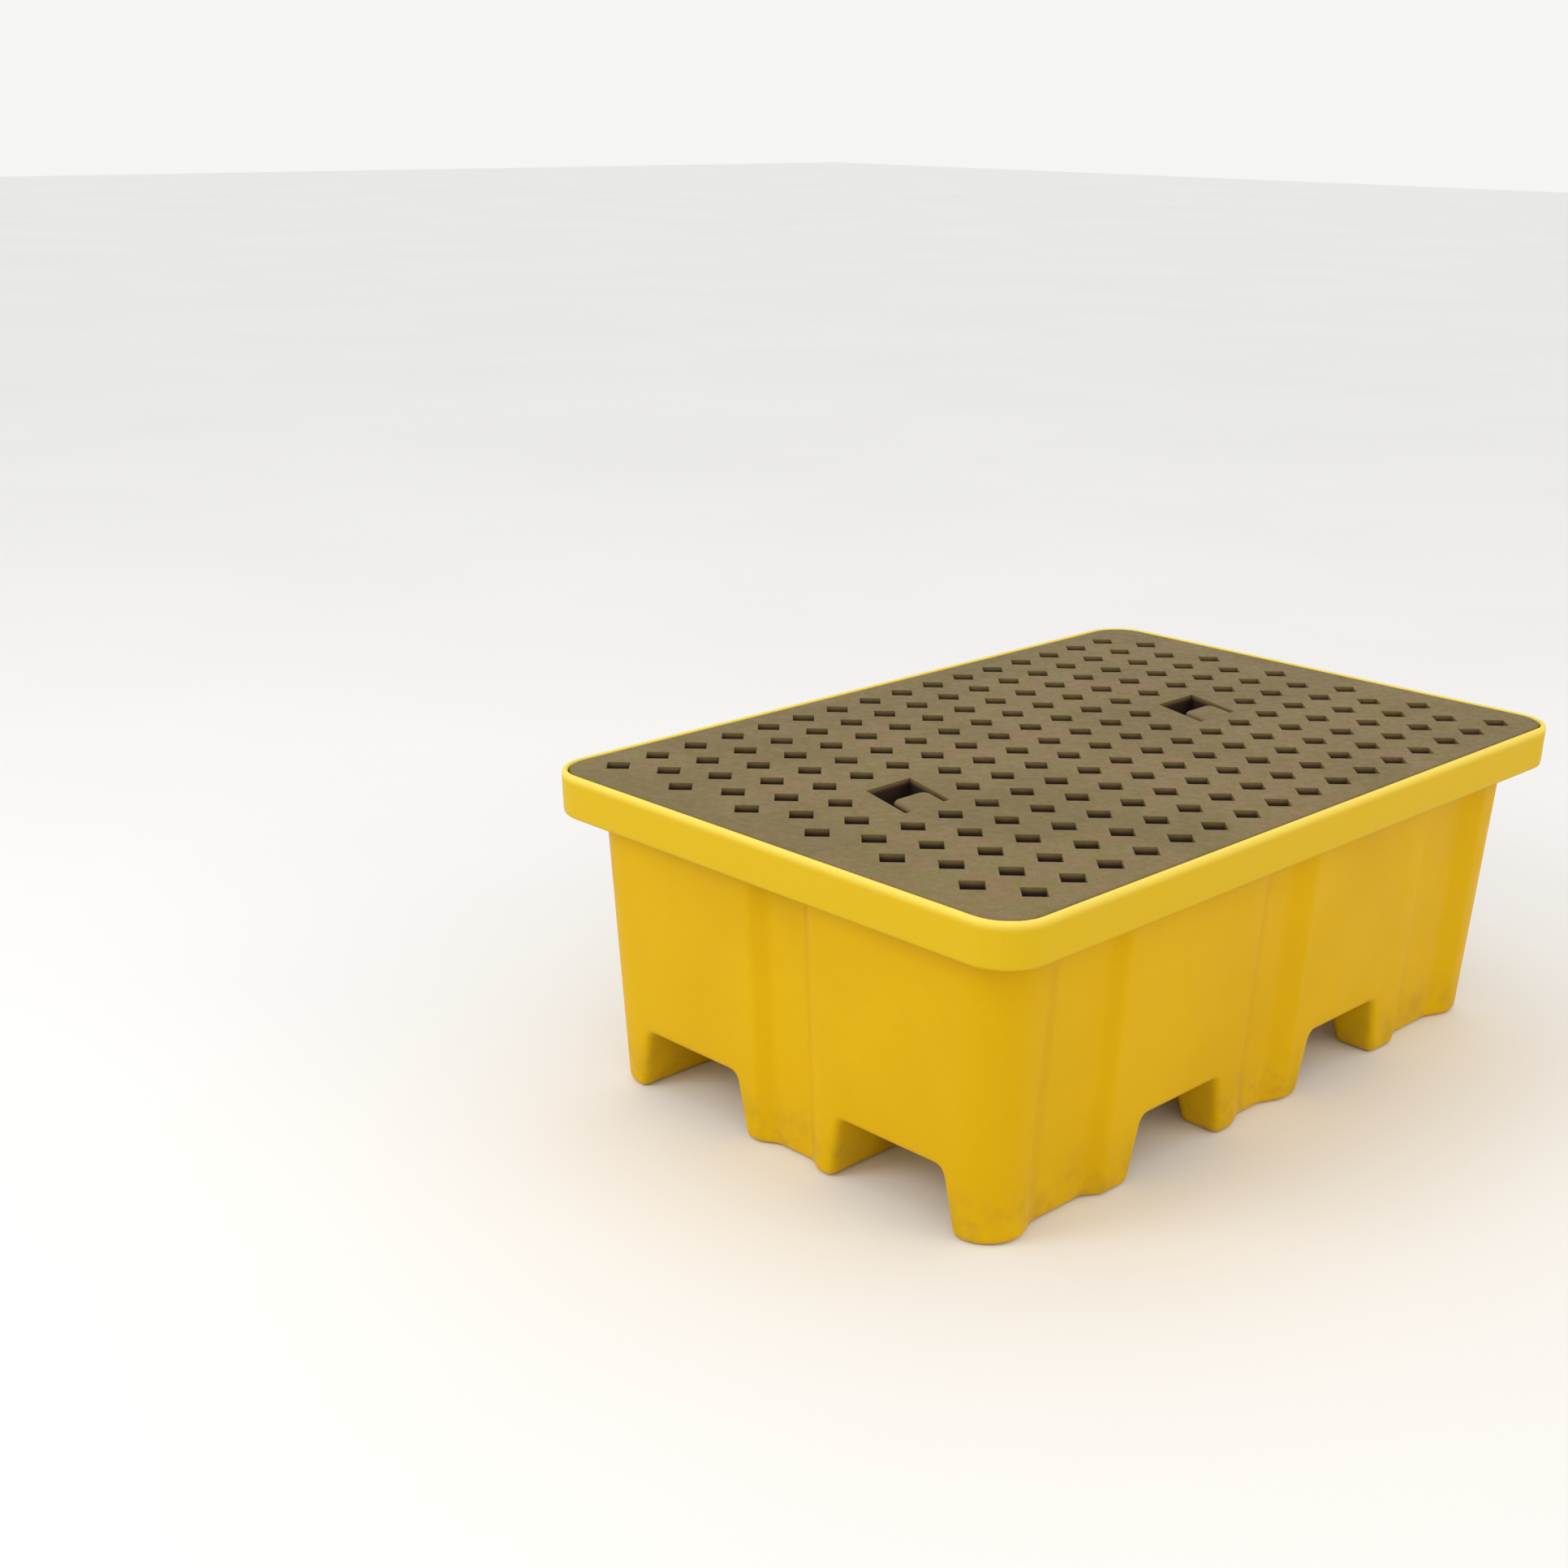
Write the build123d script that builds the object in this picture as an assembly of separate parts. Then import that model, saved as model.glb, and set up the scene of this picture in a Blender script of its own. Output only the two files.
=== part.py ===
from build123d import *
import os

# Two-drum spill containment pallet, in millimetres. X runs along the long side, Y along
# the short side, Z is up, and the origin is on the floor under the middle of the pallet.

# Overall size of the tub, measured over its rim
LENGTH = 1214.0
WIDTH = 800.0
HEIGHT = 440.0

# Rim band that frames the deck
RIM_BAND = 61.0
RIM_WALL = 8.0
RIM_DRAFT = 2.0
RIM_CORNER = 62.0
RIM_TOP_ROUND = 5.0
RIM_FOOT_ROUND = 5.0

# Tub wall below the rim, leaning in towards the feet
SKIN = 7.0
INSET_AT_RIM = 40.0
INSET_AT_FLOOR = 64.0
CORNER_AT_RIM = 66.0
CORNER_AT_FLOOR = 52.0

# Shallow recesses over the feet: each recess is flat to *_FLAT and reaches the panel at *_PANEL
RECESS_DEPTH = 15.0
RECESS_ROUND = 14.0
MID_FLAT, MID_PANEL = 24.0, 60.0
SIDE_PANEL, SIDE_FLAT = 332.0, 354.0
CORNER_FLAT, CORNER_PANEL = 447.0, 484.0
END_FLAT, END_PANEL = 30.0, 54.0

# Four fork pockets: the end pockets run along X from end to end, the side pockets along Y
POCKET_HEIGHT = 87.0
POCKET_DRAFT = 16.0
END_POCKET_AT_Y = 176.0
END_POCKET_HALF = 100.0
END_POCKET_ROUND = 12.0
SIDE_POCKET_AT_X = 185.5
SIDE_POCKET_HALF = 94.5
SIDE_POCKET_ROUND = 12.0
FOOT_ROUND = 10.0

# Lift-off deck
DECK_RECESS = 1.5
DECK_GAP = 2.0
DECK_PLATE = 6.0
DECK_SKIRT = 5.0
DECK_EDGE_ROUND = 3.0
SLOT_ROWS = 12
SLOT_COLUMNS = 16
SLOT_PITCH_X = 68.3
SLOT_PITCH_Y = 61.5
SLOT_SIDE = 30.0
SLOT_WALL = 4.0
RIB = 4.0

# Hand-holds in the deck: slanted openings with a finger tongue at the near edge
HAND_HOLD_X = (-341.0, 275.0)
HAND_HOLD_Y = -4.0
HAND_HOLD_WIDTH = 82.0
HAND_HOLD_DEPTH = 96.0
HAND_HOLD_SLANT = 30.0
TONGUE_LEFT_GAP = 13.0
TONGUE_RIGHT_GAP = 6.0
TONGUE_LENGTH = 50.0
TONGUE_THICK = 9.0
TONGUE_ROUND = 12.0

# Loose posts, all alike, that stand in the middle row of feet and carry the deck
POST_WALL = 6.0
POST_CLEARANCE = 4.0
POST_TOP = 96.0
POST_CORNER = 12.0

WALL_TOP = HEIGHT - RIM_BAND
LEDGE = WALL_TOP + SKIN
DECK_TOP = HEIGHT - DECK_RECESS
DECK_INSET = RIM_WALL + DECK_GAP
ABOVE = 20.0
POST_LENGTH = 2 * (SIDE_POCKET_AT_X - SIDE_POCKET_HALF - SKIN - POST_CLEARANCE)
POST_WIDTH = 2 * (END_POCKET_AT_Y - END_POCKET_HALF - SKIN - POST_CLEARANCE)
POST_AT_X = LENGTH / 2 - INSET_AT_FLOOR - RECESS_DEPTH - SKIN - POST_CLEARANCE - POST_LENGTH / 2


def rim_plan(inset):
    """Plan of the rim, moved in all round by inset."""
    return RectangleRounded(LENGTH - 2 * inset, WIDTH - 2 * inset, RIM_CORNER - inset)


def rim_block(inset, low, high):
    """Straight block on the rim's plan."""
    return Pos(0, 0, low) * extrude(rim_plan(inset), high - low)


def rim_band():
    """Rim as a solid block: a leaning skirt under a straight, rounded top edge."""
    shoulder = HEIGHT - RIM_TOP_ROUND - 2
    skirt = loft([Pos(0, 0, WALL_TOP) * rim_plan(RIM_DRAFT), Pos(0, 0, shoulder) * rim_plan(0)])
    skirt = fillet(skirt.edges().group_by(Axis.Z)[0], RIM_FOOT_ROUND)
    crown = rim_block(0, shoulder, HEIGHT)
    crown = fillet(crown.edges().group_by(Axis.Z)[-1], RIM_TOP_ROUND)
    return skirt + crown


def wall_plan(inset, corner, z):
    """Plan of the wall at height z: flat panels over the pockets, shallow recesses over the feet."""
    x = LENGTH / 2 - inset
    y = WIDTH / 2 - inset
    quarter = [
        (x - RECESS_DEPTH, END_FLAT, RECESS_ROUND),
        (x, END_PANEL, RECESS_ROUND),
        (x, y, corner),
        (CORNER_PANEL, y, RECESS_ROUND),
        (CORNER_FLAT, y - RECESS_DEPTH, RECESS_ROUND),
        (SIDE_FLAT, y - RECESS_DEPTH, RECESS_ROUND),
        (SIDE_PANEL, y, RECESS_ROUND),
        (MID_PANEL, y, RECESS_ROUND),
        (MID_FLAT, y - RECESS_DEPTH, RECESS_ROUND),
    ]
    outline = list(quarter)
    outline += [(-px, py, r) for px, py, r in reversed(quarter)]
    outline += [(-px, -py, r) for px, py, r in quarter]
    outline += [(px, -py, r) for px, py, r in reversed(quarter)]
    points = [(px, py) for px, py, _ in outline]
    radii = [r for _, _, r in outline]
    return Pos(0, 0, z) * make_face(FilletPolyline(*points, radius=radii, close=True))


def wall_block(skin, low, high):
    """Solid inside the wall's outer face, or inside its inner face when skin is taken off."""
    lean = (INSET_AT_FLOOR - INSET_AT_RIM) / WALL_TOP
    sections = []
    for z in (low, high):
        inset = INSET_AT_FLOOR - lean * z + skin
        corner = CORNER_AT_FLOOR + (CORNER_AT_RIM - CORNER_AT_FLOOR) * z / WALL_TOP - skin
        sections.append(wall_plan(inset, corner, z))
    return loft(sections, ruled=True)


def pocket_section(half, corner, skin):
    """Cross-section of a fork pocket, standing on the floor, grown by skin on its sides and top."""
    lean = POCKET_DRAFT / POCKET_HEIGHT
    top = POCKET_HEIGHT + skin
    half_low = half + skin + lean * ABOVE
    half_high = half + skin - lean * top
    outline = [(-half_low, -ABOVE), (half_low, -ABOVE), (half_high, top), (-half_high, top)]
    radii = [0, 0, corner + skin, corner + skin]
    return make_face(FilletPolyline(*outline, radius=radii, close=True))


def pockets(skin=0.0):
    """The four fork pockets as solid bars."""
    end_section = pocket_section(END_POCKET_HALF, END_POCKET_ROUND, skin)
    side_section = pocket_section(SIDE_POCKET_HALF, SIDE_POCKET_ROUND, skin)
    along_x = extrude(Plane.YZ * end_section, LENGTH / 2, both=True)
    along_y = extrude(Plane.XZ * side_section, WIDTH / 2, both=True)
    bars = []
    for side in (-1, 1):
        bars.append(Pos(0, side * END_POCKET_AT_Y, 0) * along_x)
        bars.append(Pos(side * SIDE_POCKET_AT_X, 0, 0) * along_y)
    return bars


def sump_tub():
    """One-piece rotomoulded tub: nine hollow feet, leaning walls, deck ledge and rim band."""
    shell = wall_block(0.0, 0.0, WALL_TOP + SKIN / 2)
    for bar in pockets():
        shell -= bar
    low_edges = shell.edges().filter_by(lambda e: e.center().Z < POCKET_HEIGHT + 1)
    shell = fillet(low_edges, FOOT_ROUND)
    cavity = wall_block(SKIN, SKIN, LEDGE + 1)
    for bar in pockets(SKIN):
        cavity -= bar
    deck_seat = rim_block(RIM_WALL, LEDGE, HEIGHT + ABOVE)
    return (shell - cavity) + (rim_band() - deck_seat - cavity)


def slot_places():
    """Centres of the drain slots: staggered rows, left out where the hand-holds are."""
    places = []
    for row in range(SLOT_ROWS):
        y = (SLOT_ROWS / 2 - 0.5 - row) * SLOT_PITCH_Y
        shift = 0.5 * (row % 2) - 0.25
        for column in range(SLOT_COLUMNS):
            x = (column - SLOT_COLUMNS / 2 + 0.5 + shift) * SLOT_PITCH_X
            middle_row = abs(y) < SLOT_PITCH_Y
            if middle_row and any(abs(x - hold) < SLOT_PITCH_X for hold in HAND_HOLD_X):
                continue
            places.append((x, y))
    return places


def slanted(x_low, x_high, y_low, y_high):
    """Parallelogram that leans like the hand-holds; x is given at the hand-hold's middle height."""
    lean = HAND_HOLD_SLANT / HAND_HOLD_DEPTH
    low = (y_low - HAND_HOLD_Y) * lean
    high = (y_high - HAND_HOLD_Y) * lean
    return make_face(
        Polyline(
            (x_low + low, y_low),
            (x_high + low, y_low),
            (x_high + high, y_high),
            (x_low + high, y_high),
            close=True,
        )
    )


def hand_hold(x, grow=0.0):
    """Plan of one hand-hold opening, grown all round for its collar."""
    half_x = HAND_HOLD_WIDTH / 2 + grow
    half_y = HAND_HOLD_DEPTH / 2 + grow
    return slanted(x - half_x, x + half_x, HAND_HOLD_Y - half_y, HAND_HOLD_Y + half_y)


def tongue(x):
    """Finger tongue of one hand-hold, flush with the deck and rounded down at its tip."""
    low = HAND_HOLD_Y - HAND_HOLD_DEPTH / 2
    left = x - HAND_HOLD_WIDTH / 2 + TONGUE_LEFT_GAP
    right = x + HAND_HOLD_WIDTH / 2 - TONGUE_RIGHT_GAP
    plan = slanted(left, right, low - DECK_SKIRT / 2, low + TONGUE_LENGTH)
    plan = fillet(plan.vertices().group_by(Axis.Y)[-1], TONGUE_ROUND)
    blade = Pos(0, 0, DECK_TOP - TONGUE_THICK) * extrude(plan, TONGUE_THICK)
    tip = blade.edges().group_by(Axis.Z)[-1].sort_by(Axis.Y)[-1]
    return fillet(tip, TONGUE_THICK - 2)


def deck_grid():
    """Lift-off deck: a slotted plate on a web of slot collars, ribs and an outer skirt."""
    length = LENGTH - 2 * DECK_INSET
    width = WIDTH - 2 * DECK_INSET
    corner = RIM_CORNER - DECK_INSET
    outline = RectangleRounded(length, width, corner)
    inside = RectangleRounded(length - 2 * DECK_SKIRT, width - 2 * DECK_SKIRT, corner - DECK_SKIRT)
    places = [Location((x, y, 0), (0, 0, 45)) for x, y in slot_places()]
    slot = Rectangle(SLOT_SIDE, SLOT_SIDE)
    collar = Rectangle(SLOT_SIDE + 2 * SLOT_WALL, SLOT_SIDE + 2 * SLOT_WALL)
    openings = [place * slot for place in places] + [hand_hold(x) for x in HAND_HOLD_X]
    rib_rows = [(row + 1 - SLOT_ROWS / 2) * SLOT_PITCH_Y for row in range(SLOT_ROWS - 1)]
    web = [place * collar for place in places]
    web += [hand_hold(x, DECK_SKIRT) for x in HAND_HOLD_X]
    web += [Pos(0, y) * Rectangle(length - DECK_SKIRT, RIB) for y in rib_rows]
    web_plan = (outline - inside) + web - openings
    plate = Pos(0, 0, DECK_TOP - DECK_PLATE) * extrude(outline, DECK_PLATE)
    plate = fillet(plate.edges().group_by(Axis.Z)[-1], DECK_EDGE_ROUND)
    plate -= Pos(0, 0, DECK_TOP - DECK_PLATE) * extrude(Sketch() + openings, DECK_PLATE)
    grid = plate + Pos(0, 0, LEDGE) * extrude(web_plan, DECK_TOP - LEDGE - DECK_PLATE)
    for x in HAND_HOLD_X:
        grid += tongue(x)
    return grid


def support_post(x):
    """Hollow tapered post that stands in a middle foot, centred at x, and ends under the deck."""

    def body(skin, top):
        base = RectangleRounded(POST_LENGTH - 2 * skin, POST_WIDTH - 2 * skin, POST_CORNER)
        cap = RectangleRounded(POST_TOP - 2 * skin, POST_TOP - 2 * skin, POST_CORNER)
        return loft([Pos(x, 0, SKIN) * base, Pos(x, 0, top) * cap], ruled=True)

    return body(0.0, LEDGE) - body(POST_WALL, LEDGE - POST_WALL)


if __name__ == "__main__":
    os.makedirs("parts", exist_ok=True)
    parts = {
        "sump_tub": sump_tub(),
        "deck_grid": deck_grid(),
        "support_post_left": support_post(-POST_AT_X),
        "support_post_centre": support_post(0.0),
        "support_post_right": support_post(POST_AT_X),
    }
    for name, part in parts.items():
        export_step(part, f"parts/{name}.step")
        print(name, len(part.solids()), "solid,", round(part.volume / 1e6, 2), "litres")
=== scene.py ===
import math

import bmesh
import bpy
from mathutils import Matrix, Vector

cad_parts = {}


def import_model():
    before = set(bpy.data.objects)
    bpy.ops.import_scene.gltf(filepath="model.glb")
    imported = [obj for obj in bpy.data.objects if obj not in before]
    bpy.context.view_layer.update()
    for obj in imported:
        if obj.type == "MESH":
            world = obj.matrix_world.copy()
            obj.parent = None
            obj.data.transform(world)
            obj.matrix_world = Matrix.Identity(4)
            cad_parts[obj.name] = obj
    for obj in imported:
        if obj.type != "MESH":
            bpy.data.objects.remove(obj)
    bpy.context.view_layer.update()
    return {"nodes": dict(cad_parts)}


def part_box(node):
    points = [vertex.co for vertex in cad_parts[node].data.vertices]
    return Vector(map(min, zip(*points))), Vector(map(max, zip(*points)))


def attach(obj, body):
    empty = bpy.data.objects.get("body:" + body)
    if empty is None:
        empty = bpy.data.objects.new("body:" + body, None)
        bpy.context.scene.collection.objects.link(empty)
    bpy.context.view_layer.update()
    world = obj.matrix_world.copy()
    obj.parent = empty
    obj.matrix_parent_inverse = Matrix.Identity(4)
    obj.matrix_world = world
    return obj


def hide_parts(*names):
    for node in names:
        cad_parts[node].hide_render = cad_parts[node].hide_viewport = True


MM = 0.001

# Camera: place in the frame in metres, direction, roll, lens and sensor in millimetres
CAMERA_PLACE = Vector((-2.2855, -1.7687, 1.2800))
CAMERA_AZIMUTH = math.radians(-44.365)
CAMERA_ELEVATION = math.radians(17.545)
CAMERA_ROLL = math.radians(0.684)
CAMERA_LENS = 50.07
CAMERA_SENSOR = 36.0
CAMERA_NEAR = 0.05
CAMERA_FAR = 100.0

# Tub skin: voxel remesh that softens every edge, then a light smoothing
TUB_VOXEL = 3.0 * MM
TUB_SMOOTH_STEPS = 6
TUB_SMOOTH_FACTOR = 0.5
# The rim's foot lies one skin's thickness under the deck
SUMP_SKIN = 7.0 * MM

# Depth under the rim's top over which a painted highlight pales its top edge
RIM_HIGHLIGHT_DEPTH = 14.0 * MM
# A painted sheen pales the rim band, fading in from just under its foot to this height over it
SHEEN_BELOW = 2.0 * MM
SHEEN_ABOVE = 8.0 * MM
# The painted highlight on the walls' convex edges fades in over this height below the rim's foot
EDGE_HIGHLIGHT_FADE = 20.0 * MM
# The line of painted shade under the rim begins this far below the rim's foot, is full just below it
# and ends above it
UNDER_RIM_SHADE_BELOW = 16.0 * MM
UNDER_RIM_SHADE_PEAK = 1.0 * MM
UNDER_RIM_SHADE_ABOVE = 5.0 * MM
# Height over the floor that dust reaches
DUST_TOP = 100.0 * MM
# Pointiness between which a convex edge goes from no painted highlight to full painted highlight
EDGE_HIGHLIGHT_START, EDGE_HIGHLIGHT_FULL = 0.51, 0.55

# Deck and posts: small rounds along the sharp edges
DECK_BEVEL = 0.9 * MM
POST_BEVEL = 1.5 * MM
BEVEL_SEGMENTS = 2
SHARP_ANGLE = math.radians(35.0)
# CAD facets flatter than this are one face, and vertices closer than this are one vertex
FLAT_ANGLE = math.radians(0.5)
MERGE_GAP = 0.01 * MM

# Depth below the deck's top over which painted shade darkens the slot walls
SLOT_SHADE_FROM = 0.8 * MM
SLOT_SHADE_TO = 9.0 * MM
# That painted shade fades out over this height above the deck's foot and this depth inside its outline
SLOT_SHADE_FADE = 22.0 * MM
SKIRT_DEPTH = 26.0 * MM

# Colours of the tub, linear
YELLOW = (0.640, 0.378, 0.0008)
YELLOW_CLOUD = (0.680, 0.408, 0.0012)
# Painted sheen: the rim band paler than the wall under it
YELLOW_RIM_SHEEN = (0.655, 0.432, 0.010)
# Painted highlight along the rim's top edge
YELLOW_RIM_HIGHLIGHT = (0.95, 0.78, 0.15)
YELLOW_SPECKLE = (0.56, 0.31, 0.001)
# Painted highlight on convex edges
YELLOW_EDGE_HIGHLIGHT = (0.82, 0.53, 0.006)
# Painted shade under the rim
YELLOW_UNDER_RIM_SHADE = (0.40, 0.215, 0.001)
YELLOW_SCRATCH = (0.80, 0.62, 0.16)
FLOOR_DUST = (0.33, 0.20, 0.03)

# Colours of the deck, linear
TAUPE_OLIVE = (0.210, 0.163, 0.050)
TAUPE_BROWN = (0.234, 0.153, 0.063)
TAUPE_PATCH = (0.186, 0.136, 0.045)
TAUPE_GRAIN = (0.120, 0.086, 0.032)
TAUPE_STREAK = (0.27, 0.215, 0.10)
# Painted shade on the slot walls
SLOT_PAINTED_SHADE = (0.034, 0.018, 0.014)

# Colours of the posts, linear
BLACK = (0.022, 0.022, 0.024)
BLACK_DUSTY = (0.048, 0.046, 0.043)
BLACK_RUBBED = (0.11, 0.105, 0.10)

# Specular level, low because both plastics are dull, and each material's range of roughness
TUB_SPECULAR = 0.08
DECK_SPECULAR = 0.25
TUB_ROUGHNESS = (0.38, 0.50)
DECK_ROUGHNESS = (0.52, 0.72)
POST_ROUGHNESS = (0.42, 0.60)

# Values of the noise texture between which nearly all of it lies
NOISE_LOW, NOISE_HIGH = 0.3, 0.7

# Stage: a floor just under the feet that reaches this many metres each way, and a bright world
FLOOR_REACH = 30.0
FLOOR_GAP = 0.3 * MM
FLOOR_ROUGHNESS = 0.8
FLOOR_DIM = (0.86, 0.86, 0.86)
FLOOR_PALE = (0.88, 0.88, 0.88)
WORLD_TINT = (1.0, 0.995, 0.985, 1.0)
WORLD_STRENGTH = 0.92
# Each soft round light's name, place, aim, diameter in metres, power in watts and tint
LIGHTS = (
    ("key", (-4.2, 1.3, 3.0), (0.0, 0.0, 0.25), 2.4, 58.0, (1.0, 0.98, 0.94)),
    ("fill", (1.5, -4.5, 2.4), (0.0, 0.0, 0.25), 3.0, 32.0, (1.0, 0.82, 0.56)),
    ("front", (-3.4, -3.0, 2.2), (0.0, 0.0, 0.25), 2.4, 14.0, (1.0, 0.94, 0.84)),
    ("top", (0.0, 1.0, 4.0), (0.0, 0.0, 0.4), 2.5, 4.0, (1.0, 1.0, 1.0)),
)


def new_material(name):
    """Empty node material with its principled shader and a maker for its nodes."""
    material = bpy.data.materials.new(name)
    material.use_nodes = True
    nodes = material.node_tree.nodes
    where = nodes.new("ShaderNodeTexCoord").outputs["Object"]
    return material, nodes["Principled BSDF"], Maker(material, where)


class Maker:
    """Short calls for the nodes of one material, in the object's own coordinates."""

    def __init__(self, material, where):
        self.tree = material.node_tree
        self.where = where

    def node(self, kind, **settings):
        made = self.tree.nodes.new(kind)
        for key, value in settings.items():
            setattr(made, key, value)
        return made

    def link(self, source, target):
        self.tree.links.new(source, target)

    def noise(self, scale, detail=2.0, roughness=0.5, stretch=None):
        """Noise with this many cells to the metre."""
        made = self.node("ShaderNodeTexNoise")
        made.inputs["Scale"].default_value = scale
        made.inputs["Detail"].default_value = detail
        made.inputs["Roughness"].default_value = roughness
        source = self.where
        if stretch:
            mapping = self.node("ShaderNodeMapping")
            mapping.inputs["Scale"].default_value = stretch
            self.link(source, mapping.inputs["Vector"])
            source = mapping.outputs["Vector"]
        self.link(source, made.inputs["Vector"])
        return made.outputs["Fac"]

    def curve(self, source, low, high, to_low=0.0, to_high=1.0):
        """Smooth step from to_low at low to to_high at high."""
        made = self.node("ShaderNodeMapRange", interpolation_type="SMOOTHSTEP")
        self.link(source, made.inputs["Value"])
        values = {"From Min": low, "From Max": high, "To Min": to_low, "To Max": to_high}
        for key, value in values.items():
            made.inputs[key].default_value = value
        return made.outputs["Result"]

    def spots(self, low, high, most=1.0, **noise):
        """Noise cut to spots: 0 up to low, most from high on."""
        return self.curve(self.noise(**noise), low, high, to_high=most)

    def roughness(self, values, **noise):
        """Roughness that wanders between two values."""
        return self.curve(self.noise(**noise), NOISE_LOW, NOISE_HIGH, *values)

    def times(self, a, b):
        """Product of two sockets, or of a socket and a number."""
        made = self.node("ShaderNodeMath", operation="MULTIPLY")
        for socket, value in zip(made.inputs, (a, b)):
            if isinstance(value, float):
                socket.default_value = value
            else:
                self.link(value, socket)
        return made.outputs["Value"]

    def mix(self, amount, a, b):
        """Colour that goes from a to b, each a socket or three numbers, with amount."""
        made = self.node("ShaderNodeMix", data_type="RGBA")
        self.link(amount, made.inputs["Factor"])
        for key, value in (("A", a), ("B", b)):
            socket = [s for s in made.inputs if s.name == key and s.type == "RGBA"][0]
            if isinstance(value, tuple):
                socket.default_value = (*value, 1.0)
            else:
                self.link(value, socket)
        return [s for s in made.outputs if s.type == "RGBA"][0]

    def layer(self, colour, tint, mask, strength=1.0):
        """Colour with tint over it where the mask is, at this strength."""
        if strength < 1.0:
            mask = self.times(mask, strength)
        return self.mix(mask, colour, tint)

    def along(self, axis):
        """Place along X, Y or Z in metres."""
        made = self.node("ShaderNodeSeparateXYZ")
        self.link(self.where, made.inputs["Vector"])
        return made.outputs[axis]

    def edges(self):
        """Sharpness of the surface: over a half on convex edges."""
        return self.node("ShaderNodeNewGeometry").outputs["Pointiness"]

    def bump(self, source, strength, distance, below=None):
        """Relief of this height in metres, on top of the relief below it."""
        made = self.node("ShaderNodeBump")
        made.inputs["Strength"].default_value = strength
        made.inputs["Distance"].default_value = distance
        self.link(source, made.inputs["Height"])
        if below is not None:
            self.link(below, made.inputs["Normal"])
        return made.outputs["Normal"]


def rim_painted_light(make, colour, rim_foot, rim_top):
    """The rim band's painted sheen and the painted highlight along its top edge."""
    height = make.along("Z")
    rim_sheen = make.curve(height, rim_foot - SHEEN_BELOW, rim_foot + SHEEN_ABOVE)
    # Painted sheen on the rim band
    colour = make.layer(colour, YELLOW_RIM_SHEEN, rim_sheen)
    # Painted highlight on the rim's top edge
    rim_highlight = make.curve(height, rim_top - RIM_HIGHLIGHT_DEPTH, rim_top)
    return make.layer(colour, YELLOW_RIM_HIGHLIGHT, rim_highlight, strength=0.8)


def wall_painted_light(make, colour, rim_foot):
    """Patchy painted highlights on the walls' convex edges, and a painted shade line under the rim."""
    height = make.along("Z")
    # Painted highlight on the convex edges, broken into patches
    edge_highlight = make.curve(make.edges(), EDGE_HIGHLIGHT_START, EDGE_HIGHLIGHT_FULL)
    edge_highlight = make.times(edge_highlight, make.spots(0.35, 0.65, scale=38.0, detail=5.0))
    edge_highlight = make.times(edge_highlight, make.curve(height, rim_foot, rim_foot - EDGE_HIGHLIGHT_FADE))
    colour = make.layer(colour, YELLOW_EDGE_HIGHLIGHT, edge_highlight, strength=0.50)
    # Painted shade line just under the rim
    rising = make.curve(height, rim_foot - UNDER_RIM_SHADE_BELOW, rim_foot - UNDER_RIM_SHADE_PEAK)
    under_rim_shade = make.times(rising, make.curve(height, rim_foot + UNDER_RIM_SHADE_ABOVE, rim_foot))
    return make.layer(colour, YELLOW_UNDER_RIM_SHADE, under_rim_shade, strength=0.55)


def tub_material(rim_foot, rim_top):
    """Rotomoulded polyethylene: safety yellow, painted sheen and highlights on the rim and edges,
    painted shade under the rim, fine skin, scuffs and floor dust.
    """
    material, shader, make = new_material("tub_polyethylene")
    cloud = make.spots(0.35, 0.68, scale=5.0, detail=4.0)
    colour = make.mix(cloud, YELLOW, YELLOW_CLOUD)
    colour = rim_painted_light(make, colour, rim_foot, rim_top)
    speckle = make.spots(0.60, 0.75, most=0.35, scale=420.0)
    colour = make.layer(colour, YELLOW_SPECKLE, speckle)
    colour = wall_painted_light(make, colour, rim_foot)

    scratch = make.spots(0.66, 0.74, scale=55.0, detail=6.0, roughness=0.7, stretch=(0.25, 0.25, 2.4))
    scratch = make.times(scratch, make.spots(0.52, 0.66, scale=7.0))
    colour = make.layer(colour, YELLOW_SCRATCH, scratch, strength=0.25)
    dust = make.curve(make.along("Z"), DUST_TOP, 0.0)
    dust = make.times(dust, make.spots(0.38, 0.70, scale=30.0, detail=6.0, roughness=0.65))
    colour = make.layer(colour, FLOOR_DUST, dust, strength=0.40)
    make.link(colour, shader.inputs["Base Color"])

    rough = make.roughness(TUB_ROUGHNESS, scale=24.0, detail=5.0)
    make.link(rough, shader.inputs["Roughness"])
    shader.inputs["Specular IOR Level"].default_value = TUB_SPECULAR
    wavy = make.bump(make.noise(scale=9.0), strength=0.30, distance=2.5 * MM)
    skin = make.bump(make.noise(scale=650.0, detail=3.0), strength=0.16, distance=0.4 * MM, below=wavy)
    scored = make.bump(scratch, strength=0.15, distance=0.3 * MM, below=skin)
    make.link(scored, shader.inputs["Normal"])
    return material


def slot_painted_shade(make, low, high):
    """Mask of painted shade: 1 on the slot walls, and 0 on the deck's top, on its foot and on its outer
    skirt.
    """
    height = make.along("Z")
    dark = make.curve(height, high.z - SLOT_SHADE_FROM, high.z - SLOT_SHADE_TO)
    dark = make.times(dark, make.curve(height, low.z, low.z + SLOT_SHADE_FADE))
    for axis, reach in (("X", high.x), ("Y", high.y)):
        place = make.along(axis)
        dark = make.times(dark, make.curve(place, reach, reach - SKIRT_DEPTH))
        dark = make.times(dark, make.curve(place, -reach, SKIRT_DEPTH - reach))
    return dark


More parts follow.
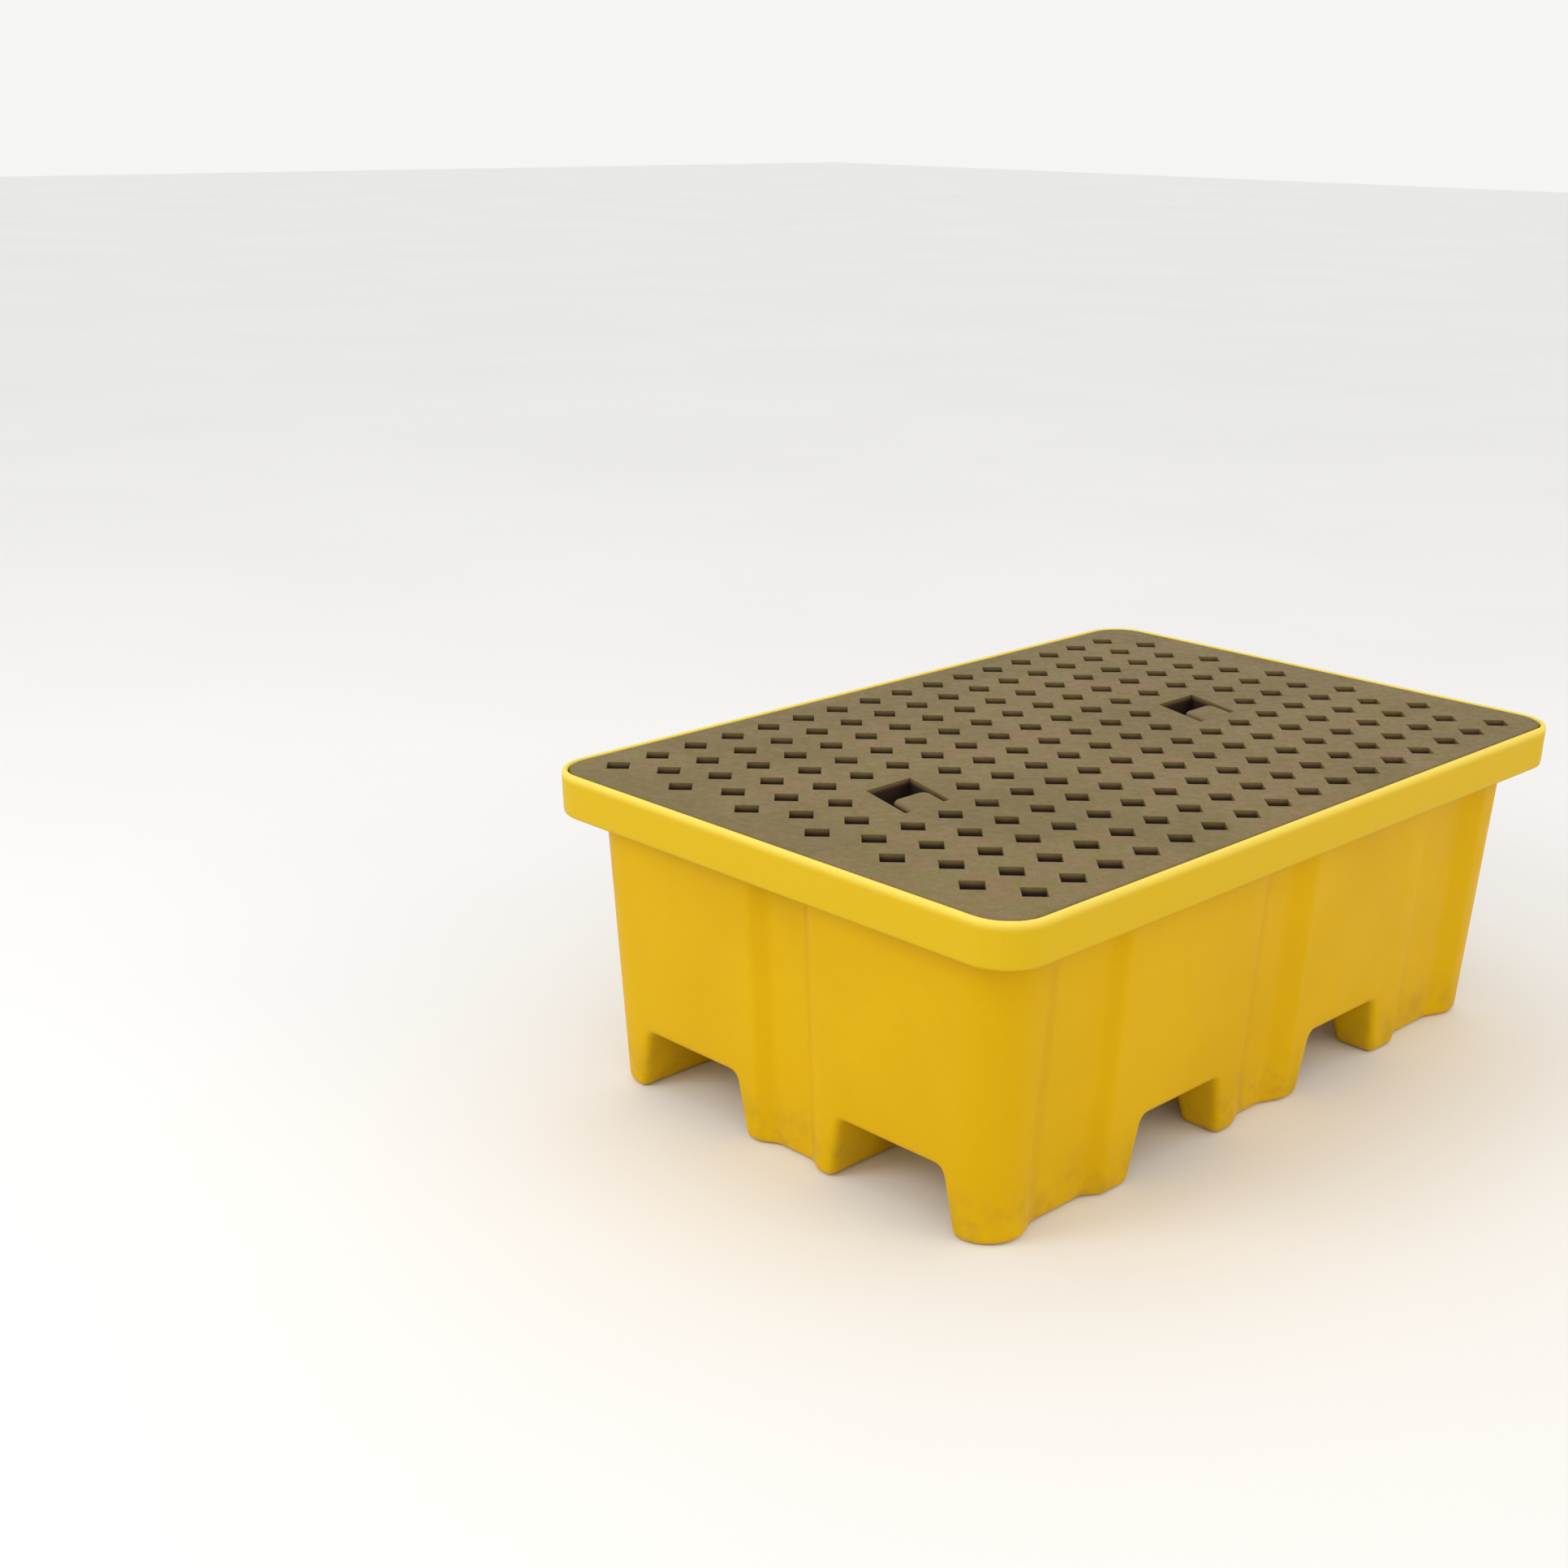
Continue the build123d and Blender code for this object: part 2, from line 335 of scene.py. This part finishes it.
def deck_material(low, high):
    """Structural foam: dull olive taupe with a mottled grain, and painted shade in the slots."""
    material, shader, make = new_material("deck_foam")
    tint = make.spots(0.40, 0.60, scale=26.0, detail=3.0, roughness=0.6)
    colour = make.mix(tint, TAUPE_OLIVE, TAUPE_BROWN)
    patch = make.spots(0.38, 0.66, scale=6.0, detail=3.0)
    colour = make.layer(colour, TAUPE_PATCH, patch)
    grain = make.spots(0.40, 0.64, scale=300.0, detail=4.0, roughness=0.7)
    colour = make.layer(colour, TAUPE_GRAIN, grain, strength=0.40)
    streak = make.spots(0.60, 0.72, scale=60.0, detail=5.0, roughness=0.7, stretch=(2.2, 0.2, 1.0))
    colour = make.layer(colour, TAUPE_STREAK, streak, strength=0.22)
    # Painted shade in the slots
    colour = make.layer(colour, SLOT_PAINTED_SHADE, slot_painted_shade(make, low, high))
    make.link(colour, shader.inputs["Base Color"])

    rough = make.roughness(DECK_ROUGHNESS, scale=90.0, detail=4.0)
    make.link(rough, shader.inputs["Roughness"])
    shader.inputs["Specular IOR Level"].default_value = DECK_SPECULAR
    pebble = make.bump(make.noise(scale=420.0, detail=3.0), strength=0.35, distance=0.5 * MM)
    flow = make.bump(make.noise(scale=24.0, detail=3.0), strength=0.18, distance=1.5 * MM, below=pebble)
    make.link(flow, shader.inputs["Normal"])
    return material


def post_material():
    """Plain black moulded polyethylene with a dusty, slightly rough skin."""
    material, shader, make = new_material("post_polyethylene")
    dust = make.spots(0.40, 0.72, scale=18.0, detail=5.0, roughness=0.6)
    colour = make.mix(dust, BLACK, BLACK_DUSTY)
    rub = make.spots(0.62, 0.74, scale=48.0, detail=6.0, roughness=0.7, stretch=(1.8, 1.8, 0.3))
    colour = make.layer(colour, BLACK_RUBBED, rub, strength=0.35)
    make.link(colour, shader.inputs["Base Color"])

    rough = make.roughness(POST_ROUGHNESS, scale=30.0, detail=4.0)
    make.link(rough, shader.inputs["Roughness"])
    skin = make.bump(make.noise(scale=500.0, detail=3.0), strength=0.25, distance=0.4 * MM)
    make.link(skin, shader.inputs["Normal"])
    return material


def floor_material():
    """Pale matt floor with a faint, broad unevenness."""
    material, shader, make = new_material("pale_floor")
    shade = make.spots(NOISE_LOW, NOISE_HIGH, scale=0.8, detail=3.0)
    make.link(make.mix(shade, FLOOR_DIM, FLOOR_PALE), shader.inputs["Base Color"])
    shader.inputs["Roughness"].default_value = FLOOR_ROUGHNESS
    return material


def copy_of(node, name):
    """A free copy of a CAD node's mesh, merged into one closed skin."""
    mesh = node.data.copy()
    mesh.name = name
    mesh.materials.clear()
    work = bmesh.new()
    work.from_mesh(mesh)
    bmesh.ops.remove_doubles(work, verts=work.verts, dist=MERGE_GAP)
    bmesh.ops.dissolve_degenerate(work, edges=work.edges, dist=MERGE_GAP)
    bmesh.ops.recalc_face_normals(work, faces=work.faces)
    work.to_mesh(mesh)
    work.free()
    obj = bpy.data.objects.new(name, mesh)
    bpy.context.scene.collection.objects.link(obj)
    return obj


def apply_modifiers(obj):
    """Bakes obj's modifiers into its mesh."""
    shown = obj.evaluated_get(bpy.context.evaluated_depsgraph_get())
    mesh = bpy.data.meshes.new_from_object(shown)
    obj.modifiers.clear()
    obj.data = mesh


def keep_inside(obj, low, high):
    """Moves any vertex that stands outside the box onto it."""
    for vertex in obj.data.vertices:
        for axis in range(3):
            vertex.co[axis] = min(max(vertex.co[axis], low[axis]), high[axis])


def finish_piece(obj, material, node, body):
    """Gives obj its material, and puts it on its body in place of the CAD node."""
    obj.data.materials.append(material)
    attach(obj, body)
    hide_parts(node)


def build_tub(frame):
    """The tub's skin with every edge softened, as a rotational moulding leaves it."""
    obj = copy_of(frame["nodes"]["sump_tub"], "tub_skin")
    remesh = obj.modifiers.new("voxels", "REMESH")
    remesh.mode = "VOXEL"
    remesh.voxel_size = TUB_VOXEL
    remesh.use_smooth_shade = True
    smooth = obj.modifiers.new("soften", "SMOOTH")
    smooth.factor = TUB_SMOOTH_FACTOR
    smooth.iterations = TUB_SMOOTH_STEPS
    apply_modifiers(obj)
    keep_inside(obj, *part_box("sump_tub"))
    rim_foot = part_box("deck_grid")[0].z - SUMP_SKIN
    rim_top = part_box("sump_tub")[1].z
    finish_piece(obj, tub_material(rim_foot, rim_top), "sump_tub", "tub")


def build_bevelled(frame, node, name, width, material, body):
    """A CAD node's copy with small rounds along its sharp edges."""
    obj = copy_of(frame["nodes"][node], name)
    dissolve = obj.modifiers.new("flat", "DECIMATE")
    dissolve.decimate_type = "DISSOLVE"
    dissolve.angle_limit = FLAT_ANGLE
    bevel = obj.modifiers.new("rounds", "BEVEL")
    bevel.width = width
    bevel.segments = BEVEL_SEGMENTS
    bevel.limit_method = "ANGLE"
    bevel.angle_limit = SHARP_ANGLE
    bevel.harden_normals = True
    apply_modifiers(obj)
    keep_inside(obj, *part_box(node))
    finish_piece(obj, material, node, body)


def build_floor():
    """Pale floor that runs far past the pallet."""
    level = -FLOOR_GAP
    turns = ((-1, -1), (1, -1), (1, 1), (-1, 1))
    corners = [(x * FLOOR_REACH, y * FLOOR_REACH, level) for x, y in turns]
    mesh = bpy.data.meshes.new("floor")
    mesh.from_pydata(corners, [], [(0, 1, 2, 3)])
    floor = bpy.data.objects.new("floor", mesh)
    bpy.context.scene.collection.objects.link(floor)
    mesh.materials.append(floor_material())


def build_world():
    world = bpy.data.worlds.new("studio")
    world.use_nodes = True
    background = world.node_tree.nodes["Background"]
    background.inputs["Color"].default_value = WORLD_TINT
    background.inputs["Strength"].default_value = WORLD_STRENGTH
    bpy.context.scene.world = world


def area_light(name, place, aim, size, power, colour):
    light = bpy.data.lights.new(name, "AREA")
    light.shape = "DISK"
    light.size = size
    light.energy = power
    light.color = colour
    obj = bpy.data.objects.new(name, light)
    obj.location = place
    obj.rotation_euler = (Vector(aim) - Vector(place)).to_track_quat("-Z", "Y").to_euler()
    bpy.context.scene.collection.objects.link(obj)


def build_camera():
    """Camera at the photo's viewing angle."""
    data = bpy.data.cameras.new("camera")
    data.lens = CAMERA_LENS
    data.sensor_width = CAMERA_SENSOR
    data.clip_start = CAMERA_NEAR
    data.clip_end = CAMERA_FAR
    camera = bpy.data.objects.new("camera", data)
    a, e, roll = CAMERA_AZIMUTH, CAMERA_ELEVATION, CAMERA_ROLL
    back = Vector((math.sin(a) * math.cos(e), -math.cos(a) * math.cos(e), math.sin(e)))
    right = (-back).cross(Vector((0.0, 0.0, 1.0))).normalized()
    up = right.cross(-back)
    turned_right = math.cos(roll) * right + math.sin(roll) * up
    turned_up = math.cos(roll) * up - math.sin(roll) * right
    turn = Matrix((turned_right, turned_up, back)).transposed()
    camera.matrix_world = Matrix.Translation(CAMERA_PLACE) @ turn.to_4x4()
    bpy.context.scene.collection.objects.link(camera)
    bpy.context.scene.camera = camera


def main():
    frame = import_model()
    build_tub(frame)
    taupe = deck_material(*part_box("deck_grid"))
    build_bevelled(frame, "deck_grid", "deck_panel", DECK_BEVEL, taupe, "deck")
    black = post_material()
    for side in ("left", "centre", "right"):
        node = f"support_post_{side}"
        build_bevelled(frame, node, f"post_{side}", POST_BEVEL, black, "tub")
    build_floor()
    build_world()
    for light in LIGHTS:
        area_light(*light)
    build_camera()
    # Blender's default view transform would grey the yellow
    bpy.context.scene.view_settings.view_transform = "Standard"


main()
